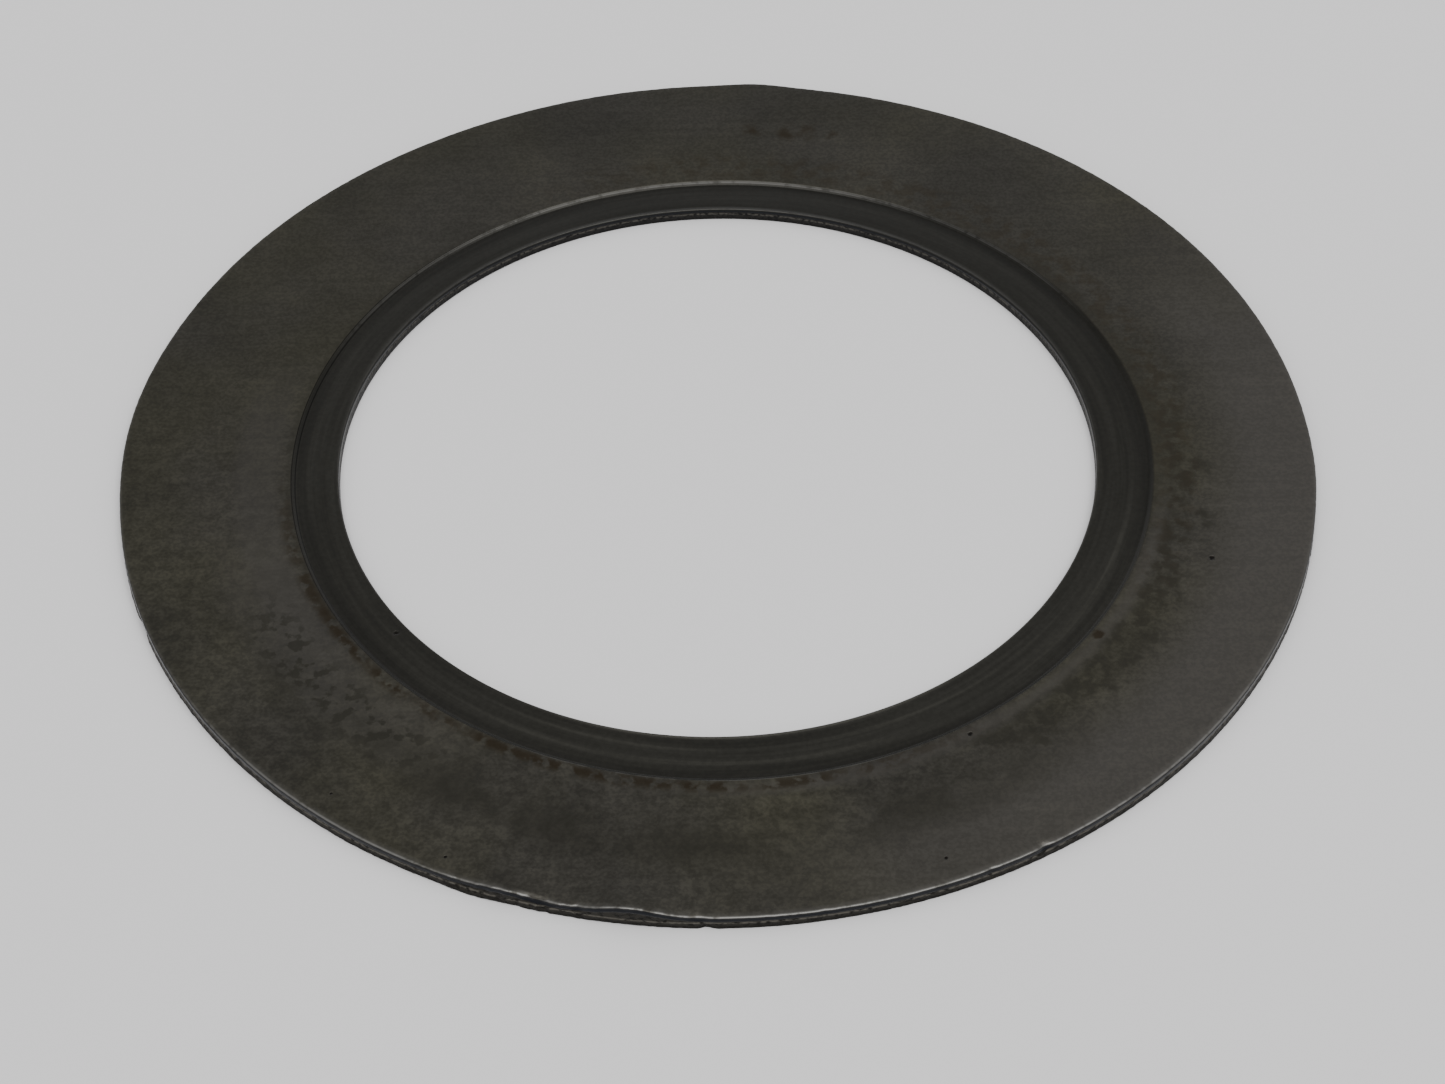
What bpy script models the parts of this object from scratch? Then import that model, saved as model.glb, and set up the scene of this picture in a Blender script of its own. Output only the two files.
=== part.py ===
"""Recessed shield ring: a flat blanked steel ring with a shallow recess around its bore.

The ring lies in the XY plane on its flat underside, its outer edge centred on Z.
Lengths are in metres.
"""

import math

import bmesh
import bpy
from mathutils import Vector

INCH = 0.0254
MM = 0.001

# Driving dimensions
OUTER_DIAMETER = 5.5 * INCH
BORE_DIAMETER = 3.5 * INCH
SHEET_THICKNESS = INCH / 16

RECESS_DIAMETER = 3.98 * INCH       # at the flange, where the recess wall starts
RECESS_DEPTH = 0.40 * MM            # at the foot of the recess wall
RECESS_DEPTH_AT_BORE = 0.10 * MM    # the recess floor rises towards the bore
RECESS_WALL_RUN = 0.45 * MM         # how far the wall slopes inwards
RECESS_OFFSET = (0.55 * MM, -0.40 * MM)   # the recess is formed slightly off the ring's centre

ROLLOVER = 0.25 * MM                # rounded edge that blanking leaves on the upper face
ROLLOVER_STEPS = 3
BURR_CHAMFER = 0.08 * MM            # broken edge on the underside

SEGMENTS = 144                      # facets around the ring
CUTTER_CLEARANCE = 2.0 * MM         # how far the cutter stands past the faces it cuts
SMOOTH_ANGLE = math.radians(30)

STEEL_COLOUR = (0.036, 0.034, 0.029, 1.0)
STEEL_ROUGHNESS = 0.5
STEEL_METALLIC = 0.85

COLLECTION_NAME = "recessed_shield_ring"
RING_NAME = "shield_ring"


def clear_scene():
    """Remove every object that the file opened with."""
    for scene_object in list(bpy.data.objects):
        bpy.data.objects.remove(scene_object, do_unlink=True)


def new_collection(name):
    """Make a collection under the scene's own."""
    collection = bpy.data.collections.new(name)
    bpy.context.scene.collection.children.link(collection)
    return collection


def steel_material():
    """Bare steel under a dark, oily brown-grey skin."""
    material = bpy.data.materials.new("oiled_steel")
    material.use_nodes = True
    shader = material.node_tree.nodes["Principled BSDF"]
    shader.inputs["Base Color"].default_value = STEEL_COLOUR
    shader.inputs["Roughness"].default_value = STEEL_ROUGHNESS
    shader.inputs["Metallic"].default_value = STEEL_METALLIC
    material.diffuse_color = STEEL_COLOUR
    return material


def arc(centre, radius, start, end, steps):
    """Points in the XZ plane along an arc, both ends included."""
    points = []
    for step in range(steps + 1):
        angle = math.radians(start + (end - start) * step / steps)
        points.append((centre[0] + radius * math.cos(angle), centre[1] + radius * math.sin(angle)))
    return points


def turned_object(name, profile, collection):
    """Turn a closed profile of (radius, height) points about Z with a Screw modifier."""
    mesh = bpy.data.meshes.new(name)
    shape = bmesh.new()
    vertices = [shape.verts.new(Vector((radius, 0.0, height))) for radius, height in profile]
    for first, second in zip(vertices, vertices[1:] + vertices[:1]):
        shape.edges.new((first, second))
    shape.to_mesh(mesh)
    shape.free()

    turned = bpy.data.objects.new(name, mesh)
    collection.objects.link(turned)
    screw = turned.modifiers.new("turn", "SCREW")
    screw.axis = "Z"
    screw.angle = math.tau
    screw.steps = SEGMENTS
    screw.render_steps = SEGMENTS
    screw.use_merge_vertices = True
    screw.merge_threshold = 0.00001
    return turned


def blank_profile():
    """Section of the plain ring, down its outer side, along the underside and up the bore."""
    outer = OUTER_DIAMETER / 2
    bore = BORE_DIAMETER / 2
    top = SHEET_THICKNESS
    profile = arc((bore + ROLLOVER, top - ROLLOVER), ROLLOVER, 180, 90, ROLLOVER_STEPS)
    profile += arc((outer - ROLLOVER, top - ROLLOVER), ROLLOVER, 90, 0, ROLLOVER_STEPS)
    profile += [(outer, BURR_CHAMFER), (outer - BURR_CHAMFER, 0.0)]
    profile += [(bore + BURR_CHAMFER, 0.0), (bore, BURR_CHAMFER)]
    return profile


def recess_profile():
    """Section of the cutter that leaves the recess: its rim, sloped wall and rising floor."""
    top = SHEET_THICKNESS
    edge = RECESS_DIAMETER / 2
    foot = edge - RECESS_WALL_RUN
    wall_slope = RECESS_WALL_RUN / RECESS_DEPTH
    floor_slope = (RECESS_DEPTH - RECESS_DEPTH_AT_BORE) / (foot - BORE_DIAMETER / 2)
    inner = BORE_DIAMETER / 2 - CUTTER_CLEARANCE
    inner_depth = RECESS_DEPTH - floor_slope * (foot - inner)
    return [
        (inner, top + CUTTER_CLEARANCE),
        (edge + wall_slope * CUTTER_CLEARANCE, top + CUTTER_CLEARANCE),
        (foot, top - RECESS_DEPTH),
        (inner, top - inner_depth),
    ]


def make_ring():
    """The ring: a turned blank with the recess cut a little off its centre."""
    parts = new_collection(COLLECTION_NAME)
    cutters = new_collection("cutters")

    ring = turned_object(RING_NAME, blank_profile(), parts)
    ring.data.materials.append(steel_material())

    cutter = turned_object("recess_cutter", recess_profile(), cutters)
    cutter.location = (RECESS_OFFSET[0], RECESS_OFFSET[1], 0.0)
    cutter.hide_render = True
    cutter.display_type = "WIRE"

    cut = ring.modifiers.new("recess", "BOOLEAN")
    cut.operation = "DIFFERENCE"
    cut.solver = "EXACT"
    cut.object = cutter

    ring.data.shade_smooth()
    ring.data.set_sharp_from_angle(angle=SMOOTH_ANGLE)
    return ring


def main():
    clear_scene()
    make_ring()


main()
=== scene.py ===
"""Looks of the recessed shield ring, laid out as an add-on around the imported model.

The ring is turned as one fine mesh with the edges that blanking leaves, then knocked about
the way the worn one is. Lengths are in metres and angles in degrees unless a name says so.
Azimuths count from +X towards +Y, so 270 is the ring's front and 90 its back.
"""

import math

import bmesh
import bpy
from mathutils import Matrix, Vector, noise


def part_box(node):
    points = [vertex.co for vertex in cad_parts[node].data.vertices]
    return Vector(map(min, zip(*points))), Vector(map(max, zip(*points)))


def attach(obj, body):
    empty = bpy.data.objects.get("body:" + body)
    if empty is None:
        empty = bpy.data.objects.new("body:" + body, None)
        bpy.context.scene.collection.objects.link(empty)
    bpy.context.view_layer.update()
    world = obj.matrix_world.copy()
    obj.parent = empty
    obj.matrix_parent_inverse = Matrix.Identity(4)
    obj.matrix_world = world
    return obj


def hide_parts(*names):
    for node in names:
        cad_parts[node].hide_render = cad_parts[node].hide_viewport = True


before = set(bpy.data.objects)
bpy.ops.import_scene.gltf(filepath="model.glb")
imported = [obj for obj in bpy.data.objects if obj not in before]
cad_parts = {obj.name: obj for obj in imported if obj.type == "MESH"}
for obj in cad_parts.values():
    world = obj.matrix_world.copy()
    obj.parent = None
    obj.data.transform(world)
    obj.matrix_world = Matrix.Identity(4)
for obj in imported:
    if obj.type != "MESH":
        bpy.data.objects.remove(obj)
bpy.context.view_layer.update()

bl_info = {
    "name": "Recessed Shield Ring",
    "version": (1, 0, 0),
    "blender": (4, 5, 0),
    "location": "View3D > Sidebar > Shield Ring",
    "description": "Builds a worn, blanked steel ring with a recessed bore, and its stage",
    "category": "Add Mesh",
}

MM = 0.001
RING_NODE = "shield_ring"
LOWEST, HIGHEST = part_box(RING_NODE)
OUTER_RADIUS = HIGHEST.x
THICKNESS = HIGHEST.z - LOWEST.z
FLOOR_HEIGHT = LOWEST.z
SENSOR_WIDTH_IN_MM = 36.0
NEAREST_SEEN = 0.01

# Marks around the rim: azimuth, half width in degrees, and size. Lumps grow outwards, lifts
# rise and nicks cut in, and a negative size goes the other way.
RIM_LUMPS = (
    (85, 3.6, 0.42 * MM),
    (121, 23, -0.45 * MM),
    (173, 11, 0.34 * MM),
    (356, 5, 0.12 * MM),
)
RIM_LIFTS = (
    (250.3, 2.4, 0.40 * MM),
    (261.6, 3.4, 0.95 * MM),
)
TOP_NICKS = (
    (253.2, 1.6, 0.26 * MM),
    (257.1, 0.4, 0.22 * MM),
    (267.6, 0.5, 0.16 * MM),
    (278.4, 0.25, 0.10 * MM),
    (293.6, 0.35, 0.12 * MM),
    (298.9, 0.5, 0.30 * MM),
)
BOTTOM_NICKS = (
    (201.2, 0.9, 0.40 * MM),
    (247.5, 2.6, -0.22 * MM),
    (268.3, 0.5, 0.25 * MM),
)

# The stretch of the rim that is rougher than the rest, and how much is added to it
CHEWED_AZIMUTH = 253.0
CHEWED_HALF_WIDTH = 6.0
CHEWED_EXTRA = 3.0

# How fast the unevenness changes: round the ring, and over its plan for the waves
CHATTER_PITCH = 90
FINE_CHATTER_PITCH = 260
TEAR_PITCH = 400
WAVE_PITCH = 22
WAVE_HEIGHT = 0.03 * MM
FINE_CHATTER_SHARE = 0.6
# The bore's tears run inwards and are finer than the rim's
BORE_TEAR_SHARE = -0.6

# Spots on the top: azimuth, distance from the axis, radius
PITS = (
    (341.2, 59.2 * MM, 0.38 * MM),
    (300.8, 52.4 * MM, 0.32 * MM),
    (290.4, 66.5 * MM, 0.22 * MM),
    (230.8, 66.7 * MM, 0.20 * MM),
    (244.1, 67.6 * MM, 0.22 * MM),
    (217.6, 45.9 * MM, 0.40 * MM),
)
BACK_STAINS = (
    (84.9, 60.4 * MM, 1.5 * MM),
    (81.0, 60.0 * MM, 1.8 * MM),
    (78.7, 61.0 * MM, 2.1 * MM),
    (75.0, 61.0 * MM, 1.1 * MM),
)
RUST_BLOBS = (
    (324.0, 52.0 * MM, 0.75 * MM),
)


# ------------------------------------------------------------------ settings


class ShieldRingSettings(bpy.types.PropertyGroup):
    """Sizes, wear and colours of the ring."""

    outer_radius: bpy.props.FloatProperty(
        name="Outer Radius", description="From the axis to the rim",
        default=OUTER_RADIUS, unit="LENGTH")
    thickness: bpy.props.FloatProperty(
        name="Thickness", description="Thickness of the sheet",
        default=THICKNESS, unit="LENGTH")
    bore_radius: bpy.props.FloatProperty(
        name="Bore Radius", description="From the axis to the wall of the bore",
        default=44.45 * MM, unit="LENGTH")
    recess_radius: bpy.props.FloatProperty(
        name="Recess Radius", description="From the recess's own centre to its edge",
        default=50.546 * MM, unit="LENGTH")
    recess_depth: bpy.props.FloatProperty(
        name="Recess Depth", description="Depth at the foot of the recess wall",
        default=0.40 * MM, unit="LENGTH")
    recess_depth_at_bore: bpy.props.FloatProperty(
        name="Depth at Bore", description="Depth of the recess where it meets the bore",
        default=0.10 * MM, unit="LENGTH")
    recess_wall_run: bpy.props.FloatProperty(
        name="Wall Run", description="How far the recess wall slopes inwards",
        default=0.45 * MM, unit="LENGTH")
    recess_offset: bpy.props.FloatVectorProperty(
        name="Recess Offset", description="How far the recess sits off the ring's centre",
        default=(0.55 * MM, -0.40 * MM), size=2, unit="LENGTH")
    rollover: bpy.props.FloatProperty(
        name="Rollover", description="Radius that blanking leaves on the upper edges",
        default=0.24 * MM, unit="LENGTH")
    wedge_doublings: bpy.props.IntProperty(
        name="Doublings", description="How often the turned wedge is doubled", default=5, min=2)
    wedge_segments: bpy.props.IntProperty(
        name="Wedge Segments", description="Facets across one wedge", default=36, min=4)
    edge_chatter: bpy.props.FloatProperty(
        name="Edge Chatter", description="Fine unevenness of the rim's edges",
        default=0.030 * MM, unit="LENGTH")
    tear_depth: bpy.props.FloatProperty(
        name="Tear Depth", description="Roughness of the torn part of the cut faces",
        default=0.045 * MM, unit="LENGTH")

    flange_colour: bpy.props.FloatVectorProperty(
        name="Flange", description="Steel under a thin film of old oil",
        default=(0.0390, 0.0368, 0.0312), size=3, subtype="COLOR")
    rubbed_colour: bpy.props.FloatVectorProperty(
        name="Rubbed Flange", description="Flange where the film is rubbed thin",
        default=(0.0570, 0.0535, 0.0485), size=3, subtype="COLOR")
    film_colour: bpy.props.FloatVectorProperty(
        name="Oil Film", description="Flange where the old oil is thicker and yellower",
        default=(0.0420, 0.0398, 0.0292), size=3, subtype="COLOR")
    patina: bpy.props.FloatVectorProperty(
        name="Patina", description="Greenish brown film where the oil has dried",
        default=(0.0235, 0.0222, 0.0170), size=3, subtype="COLOR")
    recess_colour: bpy.props.FloatVectorProperty(
        name="Recess", description="Smooth drawn steel in the recess",
        default=(0.0230, 0.0223, 0.0192), size=3, subtype="COLOR")
    rust: bpy.props.FloatVectorProperty(
        name="Rust", description="Thin brown rust",
        default=(0.0165, 0.0112, 0.0046), size=3, subtype="COLOR")
    brown_haze: bpy.props.FloatVectorProperty(
        name="Brown Haze", description="Faint brown staining in the old oil",
        default=(0.0260, 0.0197, 0.0112), size=3, subtype="COLOR")
    # Bare steel of the rubbed edges, also used as the colour of the painted highlight
    bare_steel_and_highlight: bpy.props.FloatVectorProperty(
        name="Bare Steel", description="Bright steel on rubbed edges",
        default=(0.14, 0.137, 0.13), size=3, subtype="COLOR")
    burnished: bpy.props.FloatVectorProperty(
        name="Burnished Cut", description="Blue-black upper part of the cut faces",
        default=(0.013, 0.014, 0.017), size=3, subtype="COLOR")
    torn_dark: bpy.props.FloatVectorProperty(
        name="Torn Dark", description="Hollows in the torn part of the cut faces",
        default=(0.017, 0.016, 0.014), size=3, subtype="COLOR")
    torn_light: bpy.props.FloatVectorProperty(
        name="Torn Light", description="Ridges in the torn part of the cut faces",
        default=(0.118, 0.110, 0.094), size=3, subtype="COLOR")
    pit_colour: bpy.props.FloatVectorProperty(
        name="Pits", description="Bottom of the small pits",
        default=(0.006, 0.005, 0.004), size=3, subtype="COLOR")


class ShieldStageSettings(bpy.types.PropertyGroup):
    """Floor, lights and camera."""

    floor_size: bpy.props.FloatProperty(
        name="Floor Size", description="Side of the floor", default=12.0, unit="LENGTH")
    floor_colour: bpy.props.FloatVectorProperty(
        name="Floor", description="Pale floor", default=(0.672, 0.667, 0.672), size=3,
        subtype="COLOR")
    air_strength: bpy.props.FloatProperty(
        name="Air Light", description="Strength of the even light from all round", default=0.86)
    key_strength: bpy.props.FloatProperty(
        name="Key Strength", description="Light from overhead, per square metre of floor",
        default=2.15)
    key_spread: bpy.props.FloatProperty(
        name="Key Spread", description="How wide the overhead light looks from the floor",
        default=math.radians(60), subtype="ANGLE")
    key_place: bpy.props.FloatVectorProperty(
        name="Key Place", description="Where the overhead light shines from",
        default=(0.12, -0.28, 1.0), size=3, subtype="TRANSLATION")
    side_power: bpy.props.FloatProperty(
        name="Side Power", description="Power of the back right panel",
        default=0.35, unit="POWER")
    side_size: bpy.props.FloatProperty(
        name="Side Size", description="Side of the back right panel",
        default=0.7, unit="LENGTH")
    side_place: bpy.props.FloatVectorProperty(
        name="Side Place", description="Centre of the back right panel",
        default=(0.50, 0.75, 1.05), size=3, subtype="TRANSLATION")
    camera_place: bpy.props.FloatVectorProperty(
        name="Camera Place", description="Where the camera stands",
        default=(0.0, -0.2974, 0.2866), size=3, subtype="TRANSLATION")
    camera_aim: bpy.props.FloatVectorProperty(
        name="Camera Aim", description="Point that the camera looks at",
        default=(0.0004, -0.0149, 0.0016), size=3, subtype="TRANSLATION")
    camera_roll: bpy.props.FloatProperty(
        name="Camera Roll", description="Turn of the camera about its own line of sight",
        default=math.radians(-1.12), subtype="ANGLE")
    camera_lens: bpy.props.FloatProperty(
        name="Lens", description="Focal length in millimetres on a 36 mm frame", default=87.2)


# ------------------------------------------------------------------ shape


def smooth_step(start, end, value):
    """0 before start, 1 past end, and an even ramp between them."""
    share = min(1.0, max(0.0, (value - start) / (end - start)))
    return share * share * (3.0 - 2.0 * share)


def mark_at(azimuth, centre, half_width):
    """1 at a mark's centre, falling away on both sides of it. Angles are in degrees."""
    away = (azimuth - centre + 180.0) % 360.0 - 180.0
    return math.exp(-((away / half_width) ** 2))


def marks_at(azimuth, marks):
    """Sum of the marks in a list at one azimuth."""
    return sum(size * mark_at(azimuth, centre, width) for centre, width, size in marks)


class Section:
    """The ring's cross-section: points down the line, each with what its surface is like.

    worn is a rubbed bright edge that also carries painted highlight, torn the rough part of a
    cut face, drawn the smooth recess and cut the wall of the bore or the rim.
    """

    def __init__(self):
        self.points = []

    def add(self, radius, height, worn=0.0, torn=0.0, drawn=0.0, cut=0.0):
        self.points.append((radius, height, worn, torn, drawn, cut))

    def run(self, start, end, steps, **surface):
        """Points from start to end, both included."""
        for step in range(steps + 1):
            share = step / steps
            self.add(start[0] + (end[0] - start[0]) * share,
                     start[1] + (end[1] - start[1]) * share, **surface)

    def arc(self, centre, radius, start, end, steps, **surface):
        """Points along an arc, angles in degrees, both ends left out."""
        for step in range(1, steps):
            angle = math.radians(start + (end - start) * step / steps)
            self.add(centre[0] + radius * math.cos(angle),
                     centre[1] + radius * math.sin(angle), **surface)


def ring_section(ring):
    """Up the wall of the bore, over the recess and flange, down the rim, back underneath."""
    section = Section()
    top = ring.thickness
    bore = ring.bore_radius
    rim = ring.outer_radius
    edge = ring.recess_radius
    foot = edge - ring.recess_wall_run
    roll = ring.rollover
    lip = 0.03 * MM
    burr = 0.06 * MM
    chamfer = 0.04 * MM

    # Bore: torn lower part, burnished upper part, rolled edge whose worn values also carry painted
    # highlight
    bore_top = top - ring.recess_depth_at_bore
    tear_line = 1.05 * MM
    section.add(bore - burr + chamfer, 0.0, cut=0.5)
    section.run((bore - burr, chamfer), (bore + lip, tear_line), 6, torn=0.65, cut=1.0)
    section.run((bore, tear_line + lip), (bore, bore_top - roll), 2, cut=1.0)
    section.arc((bore + roll, bore_top - roll), roll, 180, 120, 4, drawn=0.8, cut=0.4)
    section.arc((bore + roll, bore_top - roll), roll, 130, 90, 3, worn=0.2, drawn=0.9)

    # Recess floor, falling away from the bore to the foot of the wall
    fillet = 0.22 * MM
    droop_depth = 0.05 * MM
    droop_run = 0.5 * MM
    floor_steps = 10
    floor_start = bore + roll
    floor_end = foot - fillet
    floor_fall = (ring.recess_depth - ring.recess_depth_at_bore) / (floor_end - floor_start)
    for step in range(floor_steps + 1):
        radius = floor_start + (floor_end - floor_start) * step / floor_steps
        droop = droop_depth * math.exp(-(radius - floor_start) / droop_run)
        height = bore_top - floor_fall * (radius - floor_start) - droop
        section.add(radius, height, drawn=1.0)

    # Recess wall between two small radii. Its worn values also set where the painted highlight lies.
    floor = top - ring.recess_depth
    section.add(foot - 0.10 * MM, floor + 0.015 * MM, drawn=1.0)
    section.add(foot, floor + 0.06 * MM, worn=0.06, drawn=1.0)
    section.add(foot + 0.10 * MM, floor + 0.13 * MM, worn=0.03, drawn=1.0)
    section.add(foot + 0.19 * MM, floor + 0.20 * MM, worn=0.34, drawn=1.0)
    section.add(edge - 0.16 * MM, top - 0.12 * MM, worn=0.14, drawn=1.0)
    section.add(edge - 0.07 * MM, top - 0.05 * MM, worn=0.40, drawn=0.7)
    section.add(edge + 0.03 * MM, top - 0.012 * MM, worn=0.36, drawn=0.3)
    section.add(edge + 0.14 * MM, top)

    # Flange
    section.run((edge + 0.5 * MM, top), (rim - 1.6 * MM, top), 11)
    section.add(rim - 0.9 * MM, top)
    # The worn value here widens the painted highlight along the rim
    section.add(rim - roll - 0.12 * MM, top, worn=0.2)

    # Rim: rolled edge, burnished upper part, torn lower part. The worn rolled edge also carries
    # painted highlight.
    rim_tear_line = 0.98 * MM
    section.arc((rim - roll, top - roll), roll, 90, 40, 4, worn=1.0)
    section.arc((rim - roll, top - roll), roll, 45, 0, 4, worn=0.1, cut=0.9)
    section.run((rim, top - roll), (rim, rim_tear_line + lip), 3, cut=1.0)
    section.run((rim - lip, rim_tear_line), (rim + burr, chamfer), 7, torn=1.0, cut=1.0)
    section.add(rim + burr - chamfer, 0.0, cut=0.5)

    # Underside
    section.run((rim - 0.7 * MM, 0.0), (bore + 0.8 * MM, 0.0), 9)
    return section.points


def turn_section(points, doublings, wedge_segments):
    """Spin the section into a wedge, then double the wedge until it closes into a ring.

    The points carry what their surface is like in two layers of the mesh.
    """
    merge_distance = 0.001 * MM
    shape = bmesh.new()
    surface = shape.verts.layers.float_color.new("surface")
    cut_face = shape.verts.layers.float.new("cut_face")
    line = []
    for radius, height, worn, torn, drawn, cut in points:
        vertex = shape.verts.new((radius, 0.0, height))
        vertex[surface] = (worn, torn, drawn, 1.0)
        vertex[cut_face] = cut
        line.append(vertex)
    edges = [shape.edges.new(pair) for pair in zip(line, line[1:] + line[:1])]
    wedge = math.tau / 2 ** doublings
    bmesh.ops.spin(shape, geom=line + edges, cent=(0, 0, 0), axis=(0, 0, 1), dvec=(0, 0, 0),
                   angle=wedge, steps=wedge_segments, use_merge=False, use_duplicate=False)
    for doubling in range(doublings):
        everything = shape.verts[:] + shape.edges[:] + shape.faces[:]
        copy = bmesh.ops.duplicate(shape, geom=everything)["geom"]
        corners = [item for item in copy if isinstance(item, bmesh.types.BMVert)]
        bmesh.ops.rotate(shape, cent=(0, 0, 0), verts=corners,
                         matrix=Matrix.Rotation(wedge * 2 ** doubling, 3, "Z"))
    bmesh.ops.remove_doubles(shape, verts=shape.verts, dist=merge_distance)
    bmesh.ops.recalc_face_normals(shape, faces=shape.faces)
    return shape


def recess_share(radius, ring):
    """How much of the recess's offset a radius takes: none at the bore and out on the flange."""
    inner = smooth_step(ring.bore_radius + 0.3 * MM, ring.recess_radius - 1.5 * MM, radius)
    outer = smooth_step(ring.recess_radius + 1 * MM, ring.recess_radius + 8 * MM, radius)
    return inner * (1.0 - outer)


def round_noise(along, pitch, height):
    """Noise that changes round the ring at a pitch, and with the height."""
    return noise.noise(Vector((along[0] * pitch, along[1] * pitch, height)))


def knock_about(shape, ring):
    """Move the turned ring's vertices to where years of use have left them."""
    surface = shape.verts.layers.float_color["surface"]
    cut_face = shape.verts.layers.float["cut_face"]
    rim = ring.outer_radius
    lump_reach = 9 * MM
    lift_reach = 8.5 * MM
    edge_start = 0.6 * MM
    edge_full = 0.1 * MM
    for vertex in shape.verts:
        x, y, z = vertex.co
        radius = math.hypot(x, y)
        azimuth = math.degrees(math.atan2(y, x)) % 360.0
        along = (x / radius, y / radius)
        torn = vertex[surface][1]
        height_share = z / ring.thickness

        # The recess is formed a little off centre
        recess = recess_share(radius, ring)
        shift_x = ring.recess_offset[0] * recess
        shift_y = ring.recess_offset[1] * recess

        # Lumps, nicks and chatter of the rim, and the tears of both cut faces
        by_rim = smooth_step(rim - lump_reach, rim, radius)
        at_rim = smooth_step(rim - edge_start, rim - edge_full, radius)
        upper = smooth_step(0.35, 0.85, height_share)
        lower = 1.0 - smooth_step(0.15, 0.6, height_share)
        ragged = 1.0 + CHEWED_EXTRA * mark_at(azimuth, CHEWED_AZIMUTH, CHEWED_HALF_WIDTH)
        chatter = round_noise(along, CHATTER_PITCH, height_share)
        fine_chatter = round_noise(along, FINE_CHATTER_PITCH, 5 + height_share)
        tear = round_noise(along, TEAR_PITCH, 9 + 6 * height_share)
        outwards = 1.0 if radius > ring.recess_radius else BORE_TEAR_SHARE
        top_nick = at_rim * upper * marks_at(azimuth, TOP_NICKS)
        grow = by_rim * marks_at(azimuth, RIM_LUMPS)
        grow -= top_nick
        grow -= at_rim * lower * marks_at(azimuth, BOTTOM_NICKS)
        rough = chatter + FINE_CHATTER_SHARE * fine_chatter
        grow += at_rim * ragged * ring.edge_chatter * rough
        grow += outwards * torn * vertex[cut_face] * ring.tear_depth * tear

        # Lifted stretch of the rim, mostly in its upper part, and waves over the whole sheet
        bend = smooth_step(rim - lift_reach, rim, radius) ** 1.5
        lift = bend * marks_at(azimuth, RIM_LIFTS)
        lift *= 0.06 + 0.94 * smooth_step(0.05, 0.75, height_share)
        lift -= 0.6 * top_nick
        lift += at_rim * upper * ragged * 0.5 * ring.edge_chatter * chatter
        waviness = noise.noise(Vector((x * WAVE_PITCH, y * WAVE_PITCH, 0.3)))
        lift += WAVE_HEIGHT * (1.0 + waviness)

        vertex.co = (x + shift_x + along[0] * grow, y + shift_y + along[1] * grow, z + lift)


def finish_piece(name, shape, material):
    """Turn a bmesh into a smooth object at the origin, with its material."""
    mesh = bpy.data.meshes.new(name)
    shape.to_mesh(mesh)
    shape.free()
    mesh.shade_smooth()
    mesh.materials.append(material)
    piece = bpy.data.objects.new(name, mesh)
    bpy.context.scene.collection.objects.link(piece)
    return piece


# ------------------------------------------------------------------ shader parts


def new_group(name, inputs, outputs):
    """A shader node group with named sockets. Returns its tree, input node and output node."""
    tree = bpy.data.node_groups.new(name, "ShaderNodeTree")
    for socket_name, kind, default in inputs:
        socket = tree.interface.new_socket(socket_name, in_out="INPUT", socket_type=kind)
        socket.default_value = default
    for socket_name, kind in outputs:
        tree.interface.new_socket(socket_name, in_out="OUTPUT", socket_type=kind)
    return tree, tree.nodes.new("NodeGroupInput"), tree.nodes.new("NodeGroupOutput")


def plug(tree, socket, value):
    """Link a socket to another, or set its value."""
    if isinstance(value, bpy.types.NodeSocket):
        tree.links.new(value, socket)
    else:
        socket.default_value = value


def calculate(tree, operation, first, second=0.0):
    """One Math node. Returns its result."""
    node = tree.nodes.new("ShaderNodeMath")
    node.operation = operation
    plug(tree, node.inputs[0], first)
    plug(tree, node.inputs[1], second)
    return node.outputs[0]


def vector_math(tree, operation, first, second=(0.0, 0.0, 0.0)):
    """One Vector Math node."""
    node = tree.nodes.new("ShaderNodeVectorMath")
    node.operation = operation
    plug(tree, node.inputs[0], first)
    plug(tree, node.inputs[1], second)
    return node


def ramp(tree, value, start, end, low=0.0, high=1.0):
    """A smooth ramp from low to high as value goes from start to end."""
    node = tree.nodes.new("ShaderNodeMapRange")
    node.interpolation_type = "SMOOTHSTEP"
    plug(tree, node.inputs["Value"], value)
    plug(tree, node.inputs["From Min"], start)
    plug(tree, node.inputs["From Max"], end)
    plug(tree, node.inputs["To Min"], low)
    plug(tree, node.inputs["To Max"], high)
    return node.outputs["Result"]


def blend_colour(tree, share, first, second):
    """One colour laid over another by share."""
    node = tree.nodes.new("ShaderNodeMix")
    node.data_type = "RGBA"
    plug(tree, node.inputs[0], share)
    plug(tree, node.inputs[6], first)
    plug(tree, node.inputs[7], second)
    return node.outputs[2]


def blend_value(tree, share, first, second):
    """One number laid over another by share."""
    node = tree.nodes.new("ShaderNodeMix")
    node.data_type = "FLOAT"
    plug(tree, node.inputs[0], share)
    plug(tree, node.inputs[2], first)
    plug(tree, node.inputs[3], second)
    return node.outputs[0]


def scale_colour(tree, colour, factor):
    """A colour made lighter or darker by a factor."""
    node = vector_math(tree, "SCALE", colour)
    plug(tree, node.inputs["Scale"], factor)
    return node.outputs[0]


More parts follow.
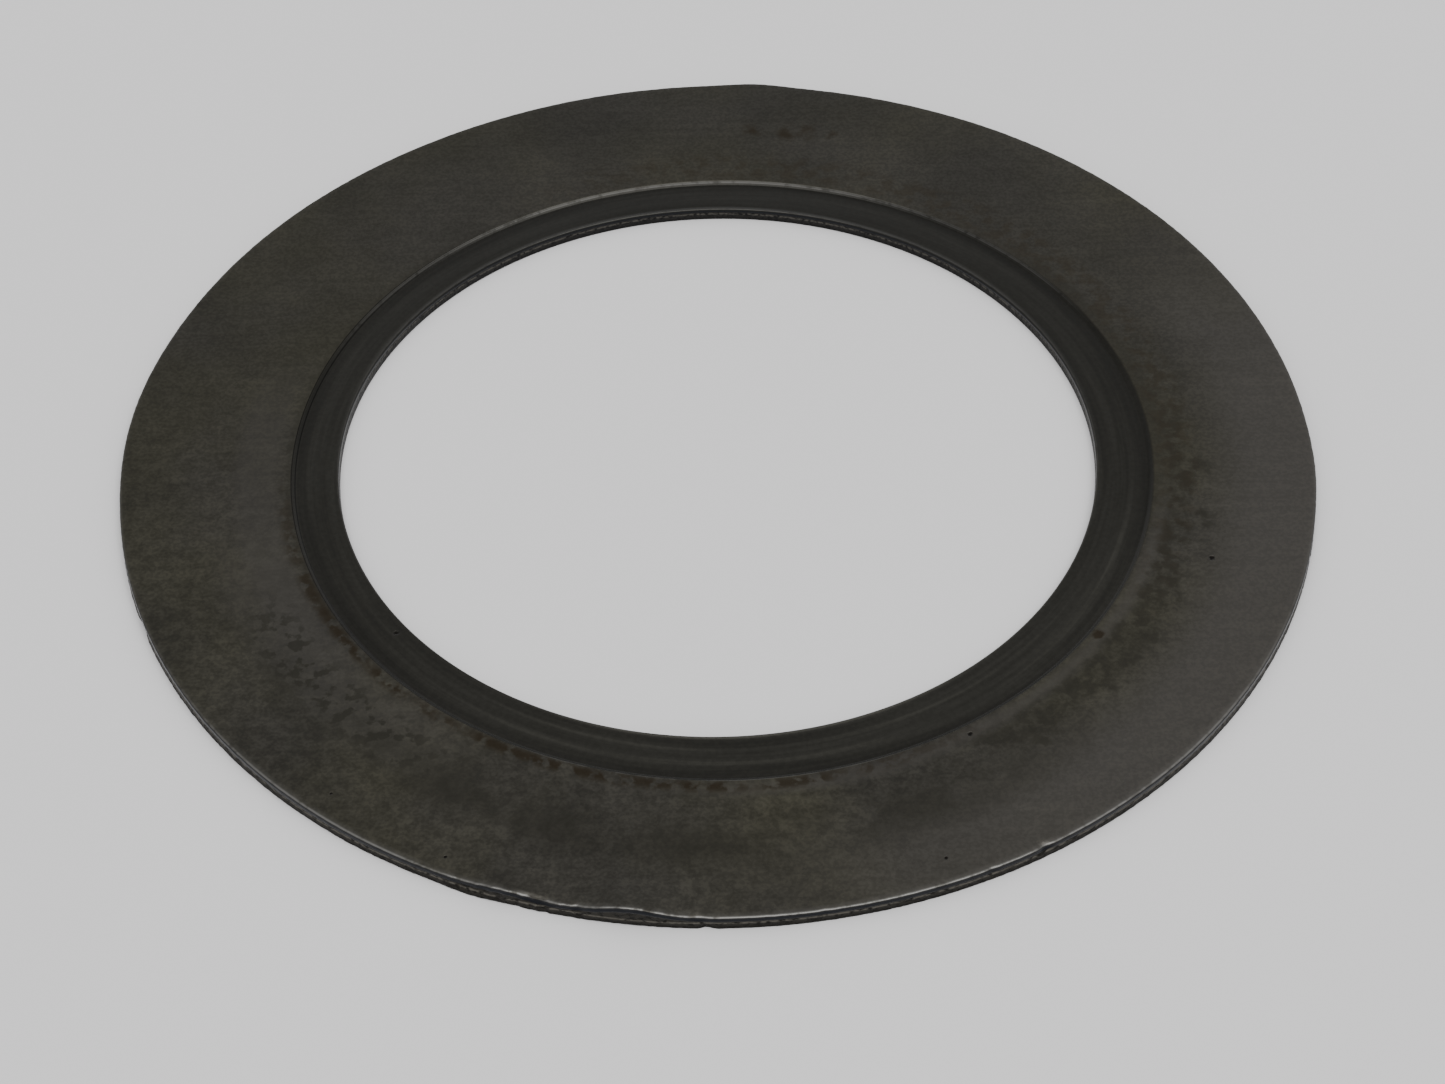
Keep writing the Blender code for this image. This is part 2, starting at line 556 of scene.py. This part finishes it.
def blotches_group():
    """Soft-edged patches of noise."""
    tree, ins, outs = new_group(
        "Blotches",
        [("Vector", "NodeSocketVector", (0, 0, 0)), ("Scale", "NodeSocketFloat", 100.0),
         ("Detail", "NodeSocketFloat", 4.0), ("Level", "NodeSocketFloat", 0.5),
         ("Softness", "NodeSocketFloat", 0.1)],
        [("Mask", "NodeSocketFloat")])
    texture = tree.nodes.new("ShaderNodeTexNoise")
    for name in ("Vector", "Scale", "Detail"):
        plug(tree, texture.inputs[name], ins.outputs[name])
    low = calculate(tree, "SUBTRACT", ins.outputs["Level"], ins.outputs["Softness"])
    high = calculate(tree, "ADD", ins.outputs["Level"], ins.outputs["Softness"])
    plug(tree, outs.inputs["Mask"], ramp(tree, texture.outputs["Fac"], low, high))
    return tree


def hoop_group():
    """A hoop between two radii, or a band between two heights, with faded edges."""
    tree, ins, outs = new_group(
        "Hoop",
        [("Radius", "NodeSocketFloat", 0.0), ("Inner", "NodeSocketFloat", 0.0),
         ("Outer", "NodeSocketFloat", 0.0), ("Fade", "NodeSocketFloat", 0.0005)],
        [("Mask", "NodeSocketFloat")])
    rise = ramp(tree, ins.outputs["Radius"],
                calculate(tree, "SUBTRACT", ins.outputs["Inner"], ins.outputs["Fade"]),
                calculate(tree, "ADD", ins.outputs["Inner"], ins.outputs["Fade"]))
    fall = ramp(tree, ins.outputs["Radius"],
                calculate(tree, "SUBTRACT", ins.outputs["Outer"], ins.outputs["Fade"]),
                calculate(tree, "ADD", ins.outputs["Outer"], ins.outputs["Fade"]), 1.0, 0.0)
    plug(tree, outs.inputs["Mask"], calculate(tree, "MULTIPLY", rise, fall))
    return tree


def side_group():
    """How far a place lies towards one side of the ring."""
    tree, ins, outs = new_group(
        "Side",
        [("Towards", "NodeSocketVector", (0, 0, 0)), ("Side", "NodeSocketVector", (1, 0, 0)),
         ("From", "NodeSocketFloat", 0.0), ("To", "NodeSocketFloat", 1.0)],
        [("Mask", "NodeSocketFloat")])
    facing = vector_math(tree, "DOT_PRODUCT", ins.outputs["Towards"], ins.outputs["Side"])
    plug(tree, outs.inputs["Mask"],
         ramp(tree, facing.outputs["Value"], ins.outputs["From"], ins.outputs["To"]))
    return tree


def spot_group():
    """One ragged spot at a given place."""
    tree, ins, outs = new_group(
        "Spot",
        [("Place", "NodeSocketVector", (0, 0, 0)), ("Centre", "NodeSocketVector", (0, 0, 0)),
         ("Radius", "NodeSocketFloat", 0.001), ("Ragged", "NodeSocketFloat", 0.6),
         ("Core", "NodeSocketFloat", 0.55)],
        [("Mask", "NodeSocketFloat")])
    away = vector_math(tree, "DISTANCE", ins.outputs["Place"], ins.outputs["Centre"])
    texture = tree.nodes.new("ShaderNodeTexNoise")
    plug(tree, texture.inputs["Vector"], ins.outputs["Place"])
    plug(tree, texture.inputs["Scale"],
         calculate(tree, "DIVIDE", 1.0, ins.outputs["Radius"]))
    uneven = calculate(tree, "SUBTRACT", texture.outputs["Fac"], 0.5)
    uneven = calculate(tree, "MULTIPLY", uneven, ins.outputs["Ragged"])
    share = calculate(tree, "DIVIDE", away.outputs["Value"], ins.outputs["Radius"])
    share = calculate(tree, "ADD", share, calculate(tree, "MULTIPLY", uneven, 2.0))
    plug(tree, outs.inputs["Mask"], ramp(tree, share, ins.outputs["Core"], 1.15, 1.0, 0.0))
    return tree


def towards(azimuth):
    """Unit vector from the axis towards an azimuth."""
    angle = math.radians(azimuth)
    return (math.cos(angle), math.sin(angle), 0.0)


def opaque(colour):
    """A settings colour as a shader colour."""
    return (colour[0], colour[1], colour[2], 1.0)


class RingPlaces:
    """Where a point of the surface is: on the ring, off its axis and off the recess's centre."""

    def __init__(self, tree, ring):
        self.tree = tree
        self.place = tree.nodes.new("ShaderNodeTexCoord").outputs["Object"]
        flat = vector_math(tree, "MULTIPLY", self.place, (1, 1, 0)).outputs[0]
        centre = (ring.recess_offset[0], ring.recess_offset[1], 0.0)
        out_of_recess = vector_math(tree, "DISTANCE", flat, centre).outputs["Value"]
        split = tree.nodes.new("ShaderNodeSeparateXYZ")
        plug(tree, split.inputs[0], self.place)
        self.height = split.outputs["Z"]
        self.out_of_axis = vector_math(tree, "LENGTH", flat).outputs["Value"]
        self.out_of_recess = out_of_recess
        self.past_recess = calculate(tree, "SUBTRACT", out_of_recess, ring.recess_radius)
        self.facing = vector_math(tree, "NORMALIZE", flat).outputs[0]

    def turning(self, around, reading, pitch):
        """A vector that turns with the ring, and also changes with a reading at a pitch."""
        rise = self.tree.nodes.new("ShaderNodeCombineXYZ")
        plug(self.tree, rise.inputs["Z"], calculate(self.tree, "MULTIPLY", reading, pitch))
        turn = scale_colour(self.tree, self.facing, around)
        return vector_math(self.tree, "ADD", turn, rise.outputs[0]).outputs[0]

    def up_wall(self, around, up):
        """A vector for a wall: slow round the ring and fast up it."""
        return self.turning(around, self.height, up)

    def wound(self, around, across):
        """A vector for the top: slow round the recess and fast across it."""
        return self.turning(around, self.out_of_recess, across)


class Painter:
    """Places the shared groups in one material, each with its own values."""

    def __init__(self, tree, places):
        self.tree = tree
        self.places = places
        self.groups = {
            "Blotches": blotches_group(),
            "Hoop": hoop_group(),
            "Side": side_group(),
            "Spot": spot_group(),
        }

    def mask(self, name, **values):
        """Place one group with its values. Returns the mask that it puts out."""
        node = self.tree.nodes.new("ShaderNodeGroup")
        node.node_tree = self.groups[name]
        for key, value in values.items():
            plug(self.tree, node.inputs[key], value)
        return node.outputs["Mask"]

    def blotches(self, scale, detail, level, softness, vector=None):
        """Patches of noise over the place on the ring, or over another vector."""
        if vector is None:
            vector = self.places.place
        return self.mask("Blotches", Vector=vector, Scale=scale, Detail=detail, Level=level,
                         Softness=softness)

    def hoop(self, reading, inner, outer, fade):
        """Where a radius or a height lies between two values."""
        return self.mask("Hoop", Radius=reading, Inner=inner, Outer=outer, Fade=fade)

    def side(self, azimuth, start, end):
        """The side of the ring at an azimuth: 0 at the cosine start, and 1 past the cosine end."""
        return self.mask("Side", Towards=self.places.facing, Side=towards(azimuth), From=start,
                         To=end)

    def spots(self, marks, height, ragged, core=0.55):
        """Spots at a list of azimuths and distances. A small core gives soft edges."""
        masks = []
        for azimuth, distance, radius in marks:
            angle = math.radians(azimuth)
            centre = (distance * math.cos(angle), distance * math.sin(angle), height)
            masks.append(self.mask("Spot", Place=self.places.place, Centre=centre,
                                   Radius=radius, Ragged=ragged, Core=core))
        return self.either(masks)

    def both(self, *masks):
        """Where all the masks are."""
        result = masks[0]
        for mask in masks[1:]:
            result = calculate(self.tree, "MULTIPLY", result, mask)
        return result

    def either(self, masks):
        """Where any of the masks is."""
        result = masks[0]
        for mask in masks[1:]:
            result = calculate(self.tree, "MAXIMUM", result, mask)
        return result

    def between(self, mask, low, high):
        """A factor that runs from low to high with a mask."""
        return ramp(self.tree, mask, 0.0, 1.0, low, high)

    def toned(self, colour, mask, low, high):
        """A colour multiplied by a factor that runs from low to high with the mask."""
        return scale_colour(self.tree, colour, self.between(mask, low, high))

    def laid_over(self, colour, mask, amount, coat):
        """A coat laid over a colour, at most by amount."""
        share = calculate(self.tree, "MULTIPLY", mask, amount)
        return blend_colour(self.tree, share, colour, opaque(coat))


# ------------------------------------------------------------------ steel


def cloudy_film(paint, ring, speckle, mottle, grain):
    """Old oil on rolled sheet, with painted shade darker towards the back and at the outer back
    left.
    """
    film = paint.blotches(scale=34.0, detail=4.0, level=0.5, softness=0.14)
    clouds = paint.blotches(scale=75.0, detail=5.0, level=0.5, softness=0.24)
    colour = blend_colour(paint.tree, film, opaque(ring.flange_colour),
                          opaque(ring.film_colour))
    colour = paint.toned(colour, clouds, 0.87, 1.13)
    colour = paint.toned(colour, speckle, 0.88, 1.12)
    colour = paint.toned(colour, grain, 0.94, 1.06)
    front = paint.side(262, -0.5, 0.7)
    front_mottle = blend_value(paint.tree, paint.between(front, 0.25, 1.0), 0.5, mottle)
    colour = paint.toned(colour, front_mottle, 0.89, 1.11)

    # Painted shade: darker towards the back, and more at the outer back left
    back = paint.side(95, -0.2, 0.8)
    colour = paint.toned(colour, back, 1.0, 0.93)
    back_left = paint.side(135, -0.1, 0.7)
    outer = ramp(paint.tree, paint.places.out_of_axis, 56 * MM, 66 * MM)
    return paint.toned(colour, paint.both(back_left, outer), 1.0, 0.88)


def rubbed_and_sheen_right(paint, ring, colour, speckle, grain):
    """Outer flange rubbed thin at the right and lightened further as painted sheen, and a lighter
    hoop by the recess at the front right.
    """
    # Rubbed film and painted sheen on the outer flange at the right
    right = paint.side(334, 0.3, 0.98)
    rubbed_and_sheen_zone = ramp(paint.tree, paint.places.out_of_axis, 55 * MM, 64 * MM)
    rubbed = paint.toned(tuple(ring.rubbed_colour), grain, 0.98, 1.06)
    rubbed = paint.toned(rubbed, speckle, 0.95, 1.07)
    rub_and_sheen = calculate(paint.tree, "MULTIPLY", paint.both(right, rubbed_and_sheen_zone), 0.87)
    colour = blend_colour(paint.tree, rub_and_sheen, colour, rubbed)

    front_right = paint.side(308, 0.62, 0.9)
    step_hoop = paint.hoop(paint.places.past_recess, 0.4 * MM, 2.2 * MM, fade=0.7 * MM)
    return paint.laid_over(colour, paint.both(front_right, step_hoop), 0.55,
                           ring.rubbed_colour)


def stained_right(paint, ring, colour):
    """Broken patina inside the rubbed zone, a dark hoop at the back right, and brown haze from
    the right round to the back."""
    past_recess = paint.places.past_recess
    right_inner = paint.side(335, 0.68, 0.93)
    ragged = paint.blotches(scale=210.0, detail=9.0, level=0.5, softness=0.2)
    border = calculate(paint.tree, "ADD", past_recess,
                       calculate(paint.tree, "MULTIPLY", ragged, 6 * MM))
    inside_border = ramp(paint.tree, border, 6.5 * MM, 9.0 * MM, 1.0, 0.0)
    clear_of_edge = ramp(paint.tree, past_recess, 1.2 * MM, 2.2 * MM)
    holes = paint.blotches(scale=560.0, detail=8.0, level=0.49, softness=0.10)
    broken = paint.between(holes, 0.30, 1.0)
    colour = paint.laid_over(
        colour, paint.both(inside_border, right_inner, clear_of_edge, broken), 0.72,
        ring.patina)

    back_right = paint.side(18, 0.82, 0.97)
    dark_hoop = ramp(paint.tree, past_recess, 0.8 * MM, 2.6 * MM, 1.0, 0.0)
    colour = paint.laid_over(colour, paint.both(back_right, dark_hoop), 0.5, ring.patina)

    hazy_side = paint.side(42, 0.1, 0.7)
    haze_hoop = paint.hoop(past_recess, 0.5 * MM, 5.0 * MM, fade=1.2 * MM)
    flecks = paint.blotches(scale=560.0, detail=8.0, level=0.52, softness=0.10)
    return paint.laid_over(colour, paint.both(hazy_side, haze_hoop, flecks), 0.42,
                           ring.brown_haze)


def cleaned_left(paint, ring, colour):
    """Cleaner inner flange at the left and front left, olive right against the recess."""
    past_recess = paint.places.past_recess
    left = paint.side(190, 0.85, 0.98)
    inner = paint.hoop(past_recess, 1.4 * MM, 6.5 * MM, fade=1.2 * MM)
    colour = paint.laid_over(colour, paint.both(left, inner), 0.38, ring.rubbed_colour)
    left_step = paint.side(172, 0.5, 0.9)
    olive_hoop = ramp(paint.tree, past_recess, 0.2 * MM, 1.0 * MM, 1.0, 0.0)
    colour = paint.laid_over(colour, paint.both(left_step, olive_hoop), 0.40, ring.patina)
    front_left = paint.side(217, 0.88, 0.98)
    clean_hoop = paint.hoop(paint.places.out_of_axis, 52 * MM, 60 * MM, fade=2.0 * MM)
    return paint.laid_over(colour, paint.both(front_left, clean_hoop), 0.38,
                           ring.rubbed_colour)


def dried_front(paint, ring, colour):
    """Dark specks of patina at the front left, and broader banks of it at the front."""
    out_of_axis = paint.places.out_of_axis
    front_left = paint.side(221, 0.93, 0.99)
    specks = paint.blotches(scale=560.0, detail=6.0, level=0.54, softness=0.04)
    speck_hoop = paint.hoop(out_of_axis, 54 * MM, 60 * MM, fade=1.8 * MM)
    colour = paint.laid_over(colour, paint.both(specks, speck_hoop, front_left), 0.75,
                             ring.patina)
    front = paint.side(262, 0.45, 0.95)
    banks = paint.blotches(scale=110.0, detail=9.0, level=0.48, softness=0.12)
    bank_hoop = paint.hoop(out_of_axis, 56.5 * MM, 62 * MM, fade=2.5 * MM)
    return paint.laid_over(colour, paint.both(banks, bank_hoop, front), 0.62, ring.patina)


def flange_colour(paint, ring):
    """The flange's colour. Also gives the mottling and the grain, for roughness and relief."""
    speckle = paint.blotches(scale=2300.0, detail=2.0, level=0.5, softness=0.16)
    mottle = paint.blotches(scale=620.0, detail=6.0, level=0.5, softness=0.17)
    rolled = vector_math(paint.tree, "MULTIPLY", paint.places.place, (0.035, 1.0, 1.0))
    grain = paint.blotches(scale=1200.0, detail=5.0, level=0.5, softness=0.30,
                           vector=rolled.outputs[0])
    colour = cloudy_film(paint, ring, speckle, mottle, grain)
    colour = rubbed_and_sheen_right(paint, ring, colour, speckle, grain)
    colour = stained_right(paint, ring, colour)
    colour = cleaned_left(paint, ring, colour)
    colour = dried_front(paint, ring, colour)
    return colour, mottle, grain


def rust_mask(paint, ring):
    """Rust in a broken hoop outside the recess, a blob beside it and stains at the back."""
    places = paint.places
    hoop = paint.hoop(places.past_recess, 0.15 * MM, 1.6 * MM, fade=0.60 * MM)
    patches = paint.blotches(scale=1.0, detail=8.0, level=0.48, softness=0.06,
                             vector=places.wound(32.0, 640.0))
    runs = paint.blotches(scale=1.0, detail=3.0, level=0.40, softness=0.10,
                          vector=places.wound(8.0, 60.0))
    broken_hoop = paint.both(hoop, patches, runs, paint.side(242, 0.35, 0.88))
    stains = paint.spots(BACK_STAINS, ring.thickness, ragged=1.1, core=-0.1)
    stains = calculate(paint.tree, "MULTIPLY", stains, 0.92)
    blob = paint.spots(RUST_BLOBS, ring.thickness, ragged=0.5)
    upper_face = ramp(paint.tree, places.height, ring.thickness * 0.8, ring.thickness)
    return paint.both(paint.either([broken_hoop, stains, blob]), upper_face)


def recess_colour(paint, ring):
    """Smooth drawn steel with marks that run round it, painted shade at the foot of the wall and
    towards the back right, and painted sheen on front arcs.
    """
    places = paint.places
    fine = paint.blotches(scale=1.0, detail=3.0, level=0.5, softness=0.3,
                          vector=places.wound(3.0, 2600.0))
    broad = paint.blotches(scale=1.0, detail=2.0, level=0.5, softness=0.25,
                           vector=places.wound(1.6, 800.0))
    dust = paint.blotches(scale=1900.0, detail=3.0, level=0.5, softness=0.2)
    colour = paint.toned(tuple(ring.recess_colour), fine, 0.91, 1.09)
    colour = paint.toned(colour, broad, 0.88, 1.12)
    colour = paint.toned(colour, dust, 0.93, 1.07)
    # Painted shade and light: the recess is darker towards the back right and lighter at the front
    # left
    front_left = paint.side(245, -0.9, 0.5)
    colour = paint.toned(colour, front_left, 0.82, 1.08)

    # Drawn arcs half way across and along the bore, lightened at the front only as painted sheen
    middle_arc = paint.hoop(places.past_recess, -2.9 * MM, -2.3 * MM, fade=0.25 * MM)
    bore_arc = paint.hoop(places.past_recess, -4.7 * MM, -4.3 * MM, fade=0.25 * MM)
    front = paint.side(296, 0.2, 0.8)
    uneven = paint.between(broad, 0.35, 1.0)
    drawn_arcs_and_sheen = paint.both(paint.either([middle_arc, bore_arc]), front, uneven)
    colour = paint.toned(colour, drawn_arcs_and_sheen, 1.0, 1.40)
    foot_shade = ramp(paint.tree, places.past_recess, -2.1 * MM, -1.5 * MM, 1.0, 0.83)
    return scale_colour(paint.tree, colour, foot_shade)


def cut_colour(paint, ring, torn):
    """Cut faces, dark where burnished and grainy where torn. Also gives the tears."""
    height = paint.places.height
    tears = paint.blotches(scale=1.0, detail=4.0, level=0.47, softness=0.10,
                           vector=paint.places.up_wall(95.0, 2600.0))
    ridge = paint.hoop(height, 0.70 * MM, 0.94 * MM, fade=0.10 * MM)
    lower_flecks = ramp(paint.tree, height, 0.25 * MM, 0.6 * MM, 0.04, 0.20)
    light = paint.both(tears, paint.either([ridge, lower_flecks]))
    torn_colour = blend_colour(paint.tree, light, opaque(ring.torn_dark),
                               opaque(ring.torn_light))
    colour = blend_colour(paint.tree, torn, opaque(ring.burnished), torn_colour)
    return colour, tears


def step_painted_shade_lines(paint):
    """Painted shade: dark lines where the wall of the recess starts and ends, at the left."""
    past_recess = paint.places.past_recess
    corner_line = paint.hoop(past_recess, -0.06 * MM, 0.04 * MM, fade=0.05 * MM)
    foot_line = paint.hoop(past_recess, -0.50 * MM, -0.38 * MM, fade=0.06 * MM)
    return paint.both(paint.either([corner_line, foot_line]), paint.side(190, 0.1, 0.8))


def worn_edges_and_painted_highlight(paint, worn):
    """Rubbed edges, broken here and there.

    Painted highlight is laid over them by side: on the wall of the recess at the back, on its
    corner at the front, and on the rim most at the front, broken up at the dent.
    """
    tree = paint.tree
    past_recess = paint.places.past_recess
    breaks = paint.blotches(scale=900.0, detail=3.0, level=0.42, softness=0.14)
    bright = calculate(tree, "MULTIPLY", worn, paint.between(breaks, 0.35, 1.0))

    # Painted highlight: the recess wall is lit at the back and its corner at the front
    back_wall_highlight = paint.side(93, 0.35, 0.65)
    front_corner_highlight = paint.side(268, 0.88, 0.97)
    back_corner_highlight = calculate(tree, "MULTIPLY", back_wall_highlight, 0.10)
    corner = ramp(tree, past_recess, -0.14 * MM, -0.04 * MM)
    step_painted_highlight = blend_value(tree, corner, back_wall_highlight, paint.either([front_corner_highlight, back_corner_highlight]))
    # Painted highlight on the rim, strongest at the front
    rim_painted_highlight = paint.between(paint.side(273, 0.35, 0.8), 0.2, 1.0)

    at_step = ramp(tree, past_recess, -1.4 * MM, -1.0 * MM)
    painted_highlight = blend_value(tree, at_step, 1.0, step_painted_highlight)
    outside = ramp(tree, past_recess, 0.8 * MM, 1.6 * MM)
    painted_highlight = blend_value(tree, outside, painted_highlight, rim_painted_highlight)
    dent = paint.side(259, 0.982, 0.994)
    chewed = paint.blotches(scale=520.0, detail=4.0, level=0.47, softness=0.07)
    painted_highlight = calculate(tree, "MULTIPLY", painted_highlight, blend_value(tree, dent, 1.0, chewed))
    return calculate(tree, "MULTIPLY", bright, painted_highlight)


def relief(tree, mottle, grain, tears, pits, drawn, torn):
    """The normal of the fine relief: none in the recess, rough where torn, sunk at the pits."""
    sheet = calculate(tree, "MULTIPLY", mottle, 0.35)
    sheet = calculate(tree, "ADD", sheet, calculate(tree, "MULTIPLY", grain, 0.25))
    height = calculate(tree, "MULTIPLY", sheet, calculate(tree, "SUBTRACT", 1.0, drawn))
    torn_height = calculate(tree, "MULTIPLY", tears, calculate(tree, "MULTIPLY", torn, 6.0))
    height = calculate(tree, "ADD", height, torn_height)
    height = calculate(tree, "SUBTRACT", height, calculate(tree, "MULTIPLY", pits, 8.0))
    bump = tree.nodes.new("ShaderNodeBump")
    bump.inputs["Strength"].default_value = 0.35
    bump.inputs["Distance"].default_value = 0.04 * MM
    plug(tree, bump.inputs["Height"], height)
    return bump.outputs["Normal"]


def surface_layers(tree):
    """The mesh's own layers as masks: worn, torn, drawn and cut."""
    surface = tree.nodes.new("ShaderNodeAttribute")
    surface.attribute_name = "surface"
    split = tree.nodes.new("ShaderNodeSeparateColor")
    plug(tree, split.inputs["Color"], surface.outputs["Color"])
    cut_face = tree.nodes.new("ShaderNodeAttribute")
    cut_face.attribute_name = "cut_face"
    layers = [split.outputs[name] for name in ("Red", "Green", "Blue")]
    return layers + [cut_face.outputs["Fac"]]


def oiled_steel(ring):
    """Bare steel under a film of old oil, with rust round the recess, bright rubbed edges carrying
    painted highlight, and painted shade and sheen in places.
    """
    material = bpy.data.materials.new("oiled_steel")
    material.use_nodes = True
    tree = material.node_tree
    shader = tree.nodes["Principled BSDF"]
    paint = Painter(tree, RingPlaces(tree, ring))
    worn, torn, drawn, cut = surface_layers(tree)

    colour, mottle, grain = flange_colour(paint, ring)
    colour = blend_colour(tree, drawn, colour, recess_colour(paint, ring))
    rust = rust_mask(paint, ring)
    colour = paint.laid_over(colour, rust, 0.84, ring.rust)
    cut_steel, tears = cut_colour(paint, ring, torn)
    colour = blend_colour(tree, cut, colour, cut_steel)
    # Painted shade along the corner and foot of the recess wall at the left
    colour = paint.toned(colour, step_painted_shade_lines(paint), 1.0, 0.25)
    # Rubbed edges in bare steel, with painted highlight laid on them by side
    bright = worn_edges_and_painted_highlight(paint, worn)
    colour = blend_colour(tree, bright, colour, opaque(ring.bare_steel_and_highlight))
    pits = paint.spots(PITS, ring.thickness, ragged=0.5)
    colour = blend_colour(tree, pits, colour, opaque(ring.pit_colour))

    roughness = blend_value(tree, mottle, 0.36, 0.44)
    roughness = blend_value(tree, drawn, roughness, 0.30)
    roughness = blend_value(tree, cut, roughness, blend_value(tree, torn, 0.30, 0.55))
    roughness = blend_value(tree, bright, roughness, 0.32)
    roughness = blend_value(tree, rust, roughness, 0.58)
    metallic = blend_value(tree, rust, 0.92, 0.88)
    normal = relief(tree, mottle, grain, tears, pits, drawn, torn)

    plug(tree, shader.inputs["Base Color"], colour)
    plug(tree, shader.inputs["Roughness"], roughness)
    plug(tree, shader.inputs["Metallic"], metallic)
    plug(tree, shader.inputs["Normal"], normal)
    return material


# ------------------------------------------------------------------ operators


class RING_OT_make_ring(bpy.types.Operator):
    """Turn the ring, knock it about and give it its steel"""

    bl_idname = "shield_ring.make_ring"
    bl_label = "Make Ring"

    def execute(self, context):
        ring = context.scene.shield_ring
        shape = turn_section(ring_section(ring), ring.wedge_doublings, ring.wedge_segments)
        knock_about(shape, ring)
        piece = finish_piece("worn_shield_ring", shape, oiled_steel(ring))
        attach(piece, "root")
        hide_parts(RING_NODE)
        return {"FINISHED"}


class RING_OT_make_stage(bpy.types.Operator):
    """Lay the floor and set the lights and camera"""

    bl_idname = "shield_ring.make_stage"
    bl_label = "Make Stage"

    def execute(self, context):
        stage = context.scene.shield_stage
        make_floor(stage)
        make_lights(context.scene, stage)
        make_camera(context.scene, stage)
        return {"FINISHED"}


def make_floor(stage):
    """A plain pale floor that the ring lies on."""
    material = bpy.data.materials.new("pale_floor")
    material.use_nodes = True
    shader = material.node_tree.nodes["Principled BSDF"]
    shader.inputs["Base Color"].default_value = opaque(stage.floor_colour)
    shader.inputs["Roughness"].default_value = 0.6
    shape = bmesh.new()
    bmesh.ops.create_grid(shape, x_segments=1, y_segments=1, size=stage.floor_size / 2,
                          matrix=Matrix.Translation((0, 0, FLOOR_HEIGHT)))
    floor = finish_piece("floor", shape, material)


def aim(thing, target):
    """Turn a light or camera to look at a point."""
    line = Vector(target) - thing.location
    thing.rotation_euler = line.to_track_quat("-Z", "Y").to_euler()


def place_light(name, kind, strength, place):
    """One light that shines at the ring. Returns its data."""
    data = bpy.data.lights.new(name, kind)
    data.energy = strength
    light = bpy.data.objects.new(name, data)
    bpy.context.scene.collection.objects.link(light)
    light.location = place
    aim(light, (0, 0, 0))
    return data


def make_lights(scene, stage):
    """Even light from all round, a broad overhead light and a soft panel at the back right."""
    world = bpy.data.worlds.new("studio")
    world.use_nodes = True
    background = world.node_tree.nodes["Background"]
    background.inputs["Color"].default_value = (1.0, 1.0, 1.0, 1.0)
    background.inputs["Strength"].default_value = stage.air_strength
    scene.world = world
    key = place_light("overhead_light", "SUN", stage.key_strength, stage.key_place)
    key.angle = stage.key_spread
    side = place_light("back_right_panel", "AREA", stage.side_power, stage.side_place)
    side.size = stage.side_size


def make_camera(scene, stage):
    """The camera, looking down on the ring."""
    data = bpy.data.cameras.new("camera")
    data.lens = stage.camera_lens
    data.sensor_width = SENSOR_WIDTH_IN_MM
    data.clip_start = NEAREST_SEEN
    camera = bpy.data.objects.new("camera", data)
    scene.collection.objects.link(camera)
    camera.location = stage.camera_place
    line = Vector(stage.camera_aim) - camera.location
    turn = line.to_track_quat("-Z", "Y").to_matrix() @ Matrix.Rotation(stage.camera_roll, 3, "Z")
    camera.rotation_euler = turn.to_euler()
    scene.camera = camera


class RING_PT_panel(bpy.types.Panel):
    """Sidebar panel with the ring's and the stage's settings"""

    bl_idname = "RING_PT_panel"
    bl_label = "Shield Ring"
    bl_space_type = "VIEW_3D"
    bl_region_type = "UI"
    bl_category = "Shield Ring"

    def draw(self, context):
        layout = self.layout
        for settings, operator in (
            (context.scene.shield_ring, RING_OT_make_ring),
            (context.scene.shield_stage, RING_OT_make_stage),
        ):
            box = layout.box()
            for name in settings.__annotations__:
                box.prop(settings, name)
            box.operator(operator.bl_idname)


CLASSES = (
    ShieldRingSettings,
    ShieldStageSettings,
    RING_OT_make_ring,
    RING_OT_make_stage,
    RING_PT_panel,
)


def register():
    for one in CLASSES:
        bpy.utils.register_class(one)
    bpy.types.Scene.shield_ring = bpy.props.PointerProperty(type=ShieldRingSettings)
    bpy.types.Scene.shield_stage = bpy.props.PointerProperty(type=ShieldStageSettings)


def unregister():
    del bpy.types.Scene.shield_stage
    del bpy.types.Scene.shield_ring
    for one in reversed(CLASSES):
        bpy.utils.unregister_class(one)


def main():
    register()
    bpy.ops.shield_ring.make_ring()
    bpy.ops.shield_ring.make_stage()


if __name__ == "__main__":
    main()
